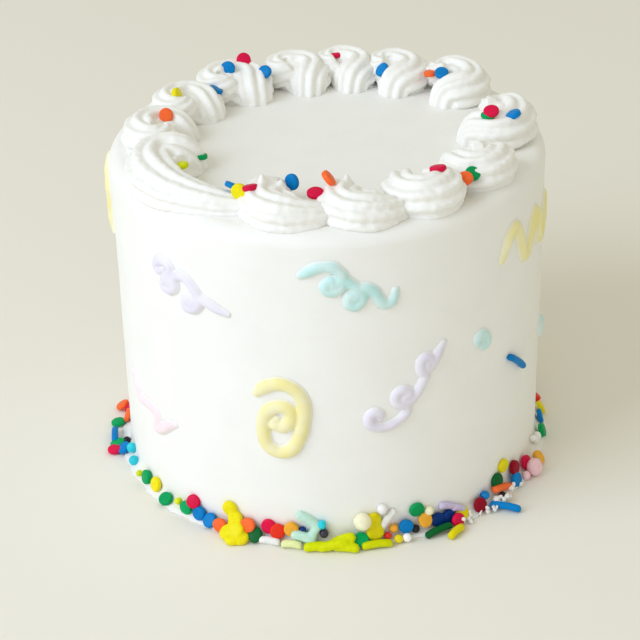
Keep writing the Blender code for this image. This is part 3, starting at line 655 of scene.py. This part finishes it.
# The sprinkles round the foot. Confetti discs, round nonpareils, two sugar pearls and short
# rods are thrown against the soft icing and stick there two or three deep, with gaps. Some have
# melted into lumps, and crumbs of icing lie among those in front on the right.
# azimuth in degrees, distance from the axis and height in mm, tilt and turn, colour
FOOT_CONFETTI = (
    (-196, 60.4, 1.6, 60, 0, "orange"), (-187.5, 59, 2.2, 40, 0, "crimson"),
    (-189.5, 63.5, 1.5, 60, 0, "orange"), (-182.8, 58.4, 2.6, 20, 0, "orange"),
    (-181.6, 62, 1, 80, 0, "green"), (-171, 60.4, 1.2, 75, 0, "green"),
    (-167.8, 59, 1.6, 60, 0, "blue"), (-168.6, 61.4, 1, 85, 0, "crimson"),
    (-151, 57.5, 2.2, 15, 0, "green"), (-146, 57.3, 2.6, 15, 0, "yellow"),
    (-140, 58.2, 1.5, 55, 0, "green"), (-130, 57.2, 5, 30, 20, "crimson"),
    (-132.6, 57.5, 1.9, 10, 0, "green"), (-127.8, 57.6, 2.4, 20, 0, "blue"),
    (-124, 58.2, 2, 40, 0, "blue"), (-120.6, 58.5, 2, 20, 0, "orange"),
    (-118.2, 57, 7, -10, 0, "yellow"), (-116.5, 57.4, 4.5, 10, 0, "yellow"),
    (-117.4, 59.8, 1.6, 60, 0, "yellow"), (-113.8, 60.6, 1.2, 75, 0, "yellow"),
    (-115.4, 59.6, 2.8, 45, 0, "yellow"), (-115.6, 61, 1.2, 75, 0, "yellow"),
    (-112.8, 58, 4, 20, 0, "orange"), (-110.6, 58.6, 1.6, 45, 0, "forest"),
    (-107.5, 57.9, 4.1, 10, 0, "crimson"), (-104.9, 57.6, 3.4, 15, 25, "vermilion"),
    (-101.3, 57.5, 4.5, 5, 0, "amber"), (-80.4, 57, 6.4, 0, 20, "yellow"),
    (-80, 57.6, 3.4, 10, 0, "yellow"), (-83.8, 58.4, 2, 45, 0, "green"),
    (-71.9, 57.7, 3.5, 10, 0, "blue"), (-68.6, 57, 7.2, -5, 0, "green"),
    (-66.6, 57.6, 4, 25, 0, "amber"), (-63, 57.8, 3, 15, 0, "navy"),
    (-59.8, 57.8, 2.6, 10, 0, "navy"), (-55.8, 58.6, 2.4, 40, 0, "yellow"),
    (-58.2, 61.5, 2.2, 15, 10, "crimson"), (-49.6, 58.1, 2, 20, 0, "wine"),
    (-34.2, 58.2, 2, 20, 0, "blue"), (-41.6, 57.2, 5.2, 10, 0, "forest"),
    (-38.6, 56.9, 8.2, -5, 0, "yellow"), (-33.5, 57.2, 5, 10, 0, "wine"),
    (-27, 57.6, 3, 15, 0, "crimson"), (-21.8, 59.4, 1.7, 40, 0, "amber"),
    (-9, 58.2, 2.2, 20, 0, "green"), (-2.2, 57.7, 2.4, 15, 0, "blue"),
    (2.9, 58.6, 2, 30, 0, "yellow"), (9, 61, 2, 55, 0, "vermilion"),
)
# azimuth in degrees, distance and height in mm, radius in mm, colour
NONPAREILS = (
    (-171.5, 57.8, 1.4, 1.2, "black"), (-165, 57.2, 3.1, 1.4, "aqua"),
    (-160.9, 57.6, 1.6, 1.4, "aqua"), (-154.8, 58, 1.3, 0.9, "lime"),
    (-136, 57.2, 2.4, 0.95, "lime"), (-98.6, 57.3, 4.1, 1, "navy"),
    (-93.5, 57.2, 6.2, 1.2, "aqua"), (-93, 58, 3.6, 1.2, "plum"), (-78, 57, 9.6, 1.4, "white"),
    (-76.8, 58.8, 1.8, 1, "vermilion"), (-75, 58, 3.2, 1.2, "amber"),
    (-74.4, 59.6, 1.3, 1.2, "yellow"), (-72.3, 59.4, 1.3, 1.2, "white"),
    (-65.3, 57.1, 6.1, 1.2, "cream"), (-69.3, 58.4, 2, 1.2, "black"), (-47, 57.4, 3.6, 1.2, "blue"),
    (-44.2, 58.8, 1.4, 1.2, "white"), (-41.8, 58.9, 1.4, 1.2, "black"),
    (-23.6, 62.6, 1.3, 1.2, "aqua"), (-30.4, 59.2, 1.3, 1.2, "pink"),
    (-13.5, 57.3, 3, 1.2, "white"), (-83.3, 58, 7.2, 2.3, "cream"),
    (-27.4, 63, 2.45, 2.3, "pink"),
)
# azimuth in degrees, distance and height in mm, slope and turn in degrees, length in mm, colour
RODS = (
    (-175, 61, 1.2, 0, 0, 7, "blue"), (-116, 59.8, 1.2, 0, -8, 7, "yellow"),
    (-106.7, 59, 1, 0, 0, 5.5, "white"), (-96.9, 56.9, 6.9, -35, 0, 7, "mint"),
    (-95.4, 57.4, 3.2, 80, 0, 4.5, "mint"), (-98.2, 58.2, 2.6, -20, 0, 6, "mint"),
    (-101, 59.4, 1, 0, 0, 5.5, "lime_pale"), (-94.4, 60, 1, 0, -5, 7, "lime"),
    (-88.6, 58.6, 2, 22, 0, 6.5, "lime"), (-76.6, 57, 6, 55, 0, 6.5, "white"),
    (-80, 60, 1, 0, 0, 8, "lime"), (-64, 60.4, 1, 8, 0, 7.5, "forest"),
    (-60.4, 64, 1, 0, -22, 5.5, "yellow"), (-90.6, 60, 1.6, 10, 0, 7, "lime"),
    (-59.5, 56.9, 5.2, -25, 0, 6, "lavender"), (-56.4, 57.2, 3.4, -30, 0, 5, "lavender"),
    (-44.7, 65, 1, 0, 63, 8.5, "blue"), (-40.5, 57.9, 2.7, -20, 0, 9, "orange"),
    (-17, 57, 3.8, -40, 0, 6, "white"), (-87.5, 60.2, 1, 0, 12, 6, "lime"),
    (-33.8, 58.2, 37.6, -40, 0, 10, "blue"),
)
# sprinkles of one colour that have run together: from and to azimuth, colour
RUN_TOGETHER = (
    (-119, -113, "yellow"), (-81, -79.5, "yellow"), (-95, -87, "lime"), (-99, -95, "mint"),
)
CRUMBS = 34
LOWEST = 0.0001
ROD_RADIUS = 0.00098
ROD_BEND = 0.0004
NEARBY = 0.009
CREEP = 0.00012
BITE = 0.0002
LUMP_SWELL = 0.0006
LUMP_VOXEL = 0.00028
LUMP_SMOOTHING = 12
FAR_SIDE = (16, 160)
FAR_REACH_MM = 57.8
FAR_SPACING = 4.4


def turned(azimuth, tilt, turn):
    """Axes at an azimuth: the face looks outward, tilted up and turned about the vertical."""
    return (Matrix.Rotation(math.radians(azimuth + turn), 4, "Z")
            @ Matrix.Rotation(-math.radians(tilt), 4, "Y"))


def along(azimuth, slope, turn):
    """Axes of a rod along the ring at an azimuth, sloping up and turned outward."""
    return (Matrix.Rotation(math.radians(azimuth - turn), 4, "Z")
            @ Matrix.Rotation(math.radians(slope), 4, "X"))


def sugar_bead():
    """One round sugar bead, 1 m in radius, to copy from, slightly uneven from the panning."""
    bpy.ops.object.select_all(action="DESELECT")
    bpy.ops.mesh.primitive_ico_sphere_add(subdivisions=3, radius=1)
    bead = bpy.context.object
    for vertex in bead.data.vertices:
        vertex.co *= 1 + 0.05 * noise.noise(vertex.co * 1.3)
    bpy.ops.object.shade_smooth()
    return bead


def sugar_rod():
    """One rod, 1 m long along Y, with rounded ends and a slight bend, to copy from."""
    bpy.ops.object.select_all(action="DESELECT")
    bpy.ops.mesh.primitive_cylinder_add(vertices=14, radius=ROD_RADIUS, depth=1,
                                        rotation=(math.pi / 2, 0, 0))
    rod = bpy.context.object
    bpy.ops.object.transform_apply(rotation=True)
    bpy.ops.object.mode_set(mode="EDIT")
    for place in (-0.47, -0.44, -0.3, -0.15, 0, 0.15, 0.3, 0.44, 0.47):
        bpy.ops.mesh.select_all(action="SELECT")
        bpy.ops.mesh.bisect(plane_co=(0, place, 0), plane_no=(0, 1, 0))
    bpy.ops.object.mode_set(mode="OBJECT")
    for vertex in rod.data.vertices:
        x, y, z = vertex.co
        narrow = {50: 0.45, 47: 0.8, 44: 0.95}.get(round(abs(y) * 100), 1.0)
        vertex.co = (x * narrow, y, z * narrow + ROD_BEND * (1 - 4 * y * y))
    bpy.ops.object.shade_smooth()
    return rod


def lay(model, kind_matrix, azimuth, reach, height, axes, colour):
    """Puts a sprinkle at its place and slides it towards the cake until it sticks there."""
    place = ring_point(azimuth, reach / 1000, height / 1000)
    copy = copy_of(model, Matrix.Translation(place) @ axes @ kind_matrix, colour)
    lowest = min(vertex.co.z for vertex in copy.data.vertices)
    if lowest < LOWEST:
        copy.data.transform(Matrix.Translation((0, 0, LOWEST - lowest)))
        place.z += LOWEST - lowest
    near = [tree for middle, tree in laid if (middle - place).length < NEARBY] + [icing_wall]
    shift = Vector()
    inward = -ring_point(azimuth, 1, 0)
    for step in range(40):
        if any(surface(copy, shift).overlap(other) for other in near):
            break
        shift += inward * CREEP
    shift += inward * BITE
    copy.data.transform(Matrix.Translation(shift))
    laid.append((place + shift, surface(copy)))
    stains.append((place + shift, colour))
    dropped.append((azimuth, colour, copy))
    return copy


def run_together(copies, colour):
    """One soft lump out of sprinkles of one colour that the damp icing has melted."""
    lump = joined(copies)
    swell = lump.modifiers.new("swell", "DISPLACE")
    swell.strength = LUMP_SWELL
    bpy.ops.object.modifier_apply(modifier="swell")
    run_into_itself(lump, LUMP_VOXEL, LUMP_SMOOTHING)
    for vertex in lump.data.vertices:
        vertex.co.z = max(LOWEST, vertex.co.z)
    give_dye(lump.data, colour)
    return lump


bead = sugar_bead()
rod = sugar_rod()
laid = []
dropped = []
stains = []
flats = []
beads = []
rods = []
for azimuth, reach, height, radius, colour in NONPAREILS:
    size = Matrix.Scale(radius / 1000, 4)
    beads.append(lay(bead, size, azimuth, reach, height, Matrix(), colour))
for azimuth, reach, height, tilt, turn, colour in FOOT_CONFETTI:
    flats.append(lay(disc, Matrix(), azimuth, reach, height, turned(azimuth, tilt, turn), colour))
for azimuth, reach, height, slope, turn, length, colour in RODS:
    size = Matrix.Diagonal((1, length / 1000, 1, 1))
    rods.append(lay(rod, size, azimuth, reach, height, along(azimuth, slope, turn), colour))
azimuth = FAR_SIDE[0]
while azimuth < FAR_SIDE[1]:
    kind = chance.choice(("disc", "disc", "disc", "bead", "rod"))
    colour = chance.choice([name for name in SUGAR if name not in ("plum", "cream")])
    height = chance.choice((1.6, 2.2, 4.4))
    if kind == "disc":
        axes = turned(azimuth, chance.uniform(5, 45), 0)
        flats.append(lay(disc, Matrix(), azimuth, FAR_REACH_MM, height, axes, colour))
    elif kind == "bead":
        size = Matrix.Scale(0.0012, 4)
        beads.append(lay(bead, size, azimuth, FAR_REACH_MM, height, Matrix(), colour))
    else:
        size = Matrix.Diagonal((1, 0.007, 1, 1))
        axes = along(azimuth, chance.uniform(-30, 30), 0)
        rods.append(lay(rod, size, azimuth, FAR_REACH_MM, height, axes, colour))
    azimuth += FAR_SPACING * chance.uniform(0.7, 1.3)
crumbs = []
noise.seed_set(11)
for number in range(CRUMBS):
    size = Matrix.Diagonal((*[chance.uniform(0.0003, 0.0007) for axis in range(3)], 1))
    axes = Matrix.Rotation(chance.uniform(0, math.pi), 4, (1, 1, chance.uniform(-1, 1)))
    crumb = lay(bead, size, chance.gauss(-45, 5), 61, chance.uniform(0.4, 2.6), axes, "white")
    for vertex in crumb.data.vertices:
        vertex.co += noise.noise_vector(vertex.co * 1500) * 0.0002
        vertex.co.z = max(LOWEST, vertex.co.z)
    crumbs.append(crumb)
for first, last, colour in RUN_TOGETHER:
    copies = [copy for azimuth, dye, copy in dropped if dye == colour and first <= azimuth <= last]
    flats = [copy for copy in flats if copy not in copies]
    rods = [copy for copy in rods if copy not in copies]
    flats.append(run_together(copies, colour))
gathered("icing_crumbs", crumbs, piped_icing, "frosting", "cake")
gathered("foot_confetti", flats, confetti_sugar, "frosting", "cake")
gathered("nonpareils", beads, sugar("bead_glaze", 0.25, 0.25), "frosting", "cake")
gathered("sugar_rods", rods, sugar("rod_wax", 0.45, 0.0), "frosting", "cake")
for model in (disc, bead, rod):
    bpy.data.objects.remove(model)

# The stains. Damp icing takes up the dye of the sprinkles that touch it, so each has a faint
# ring of its own colour round it on the cake's foot.
STAINED_HEIGHT = 0.014
STAIN_REACH = 0.0032
STAIN_STRENGTH = 0.22
stain = cake.data.attributes.new("stain", "FLOAT_COLOR", "POINT")
for vertex, spot in zip(cake.data.vertices, stain.data):
    spot.color = (0, 0, 0, 0)
    reach = math.hypot(vertex.co.x, vertex.co.y)
    if vertex.co.z < STAINED_HEIGHT and reach > CAKE_RADIUS - 0.001:
        place, colour = min(stains, key=lambda found: (found[0] - vertex.co).length)
        gap = (place - vertex.co).length
        spot.color = (*linear(SUGAR[colour]), STAIN_STRENGTH * max(0.0, 1 - gap / STAIN_REACH))

# The camera. It stands where the photograph was taken from: a long lens, a little over half a
# metre away, looking down at the cake.
bpy.ops.object.camera_add(location=EYE)
camera = bpy.context.object
camera.data.lens = 106.875
camera.data.sensor_width = 36
right = Vector((0.99971951, -0.0062388, -0.02284693))
up = Vector((0.02295857, 0.49212973, 0.87021907))
camera.rotation_euler = Matrix((right, up, right.cross(up))).transposed().to_euler()
camera.data.clip_start = 0.01
bpy.context.scene.camera = camera

# The table top. A plain sheet of warm white paper, large enough to fill the view, under the
# cake and behind it.
bpy.ops.object.select_all(action="DESELECT")
bpy.ops.mesh.primitive_plane_add(size=6)
floor = bpy.context.object
floor.name = "table_top"
paper = bpy.data.materials.new("warm_white_sheet")
paper.use_nodes = True
shader = paper.node_tree.nodes["Principled BSDF"]
shader.inputs["Base Color"].default_value = (*linear((238, 234, 222)), 1)
shader.inputs["Roughness"].default_value = 0.8
floor.data.materials.append(paper)

# The light. An even pale room, a large soft window to the left and slightly in front, and the
# little that comes back from a wall in front.
LIT = Vector((0, 0, 0.05))


def soft_light(place, size, energy, colour):
    """A square soft light at a place, turned to the middle of the cake."""
    bpy.ops.object.light_add(type="AREA", location=place)
    light = bpy.context.object
    light.data.size = size
    light.data.energy = energy
    light.data.color = colour
    light.rotation_euler = (LIT - light.location).to_track_quat("-Z", "Y").to_euler()


world = bpy.data.worlds.new("room")
bpy.context.scene.world = world
world.use_nodes = True
air = world.node_tree.nodes["Background"]
air.inputs["Color"].default_value = (1.0, 0.98, 0.84, 1)
air.inputs["Strength"].default_value = 0.645
soft_light((-1.0, -0.6, 0.85), 0.9, 12.5, (0.71, 0.80, 1.0))
soft_light((-0.1, -1.3, 0.35), 1.0, 2.6, (0.60, 0.68, 1.0))
bpy.context.scene.view_settings.view_transform = "Standard"

# The scene brought up to date.
bpy.context.view_layer.update()
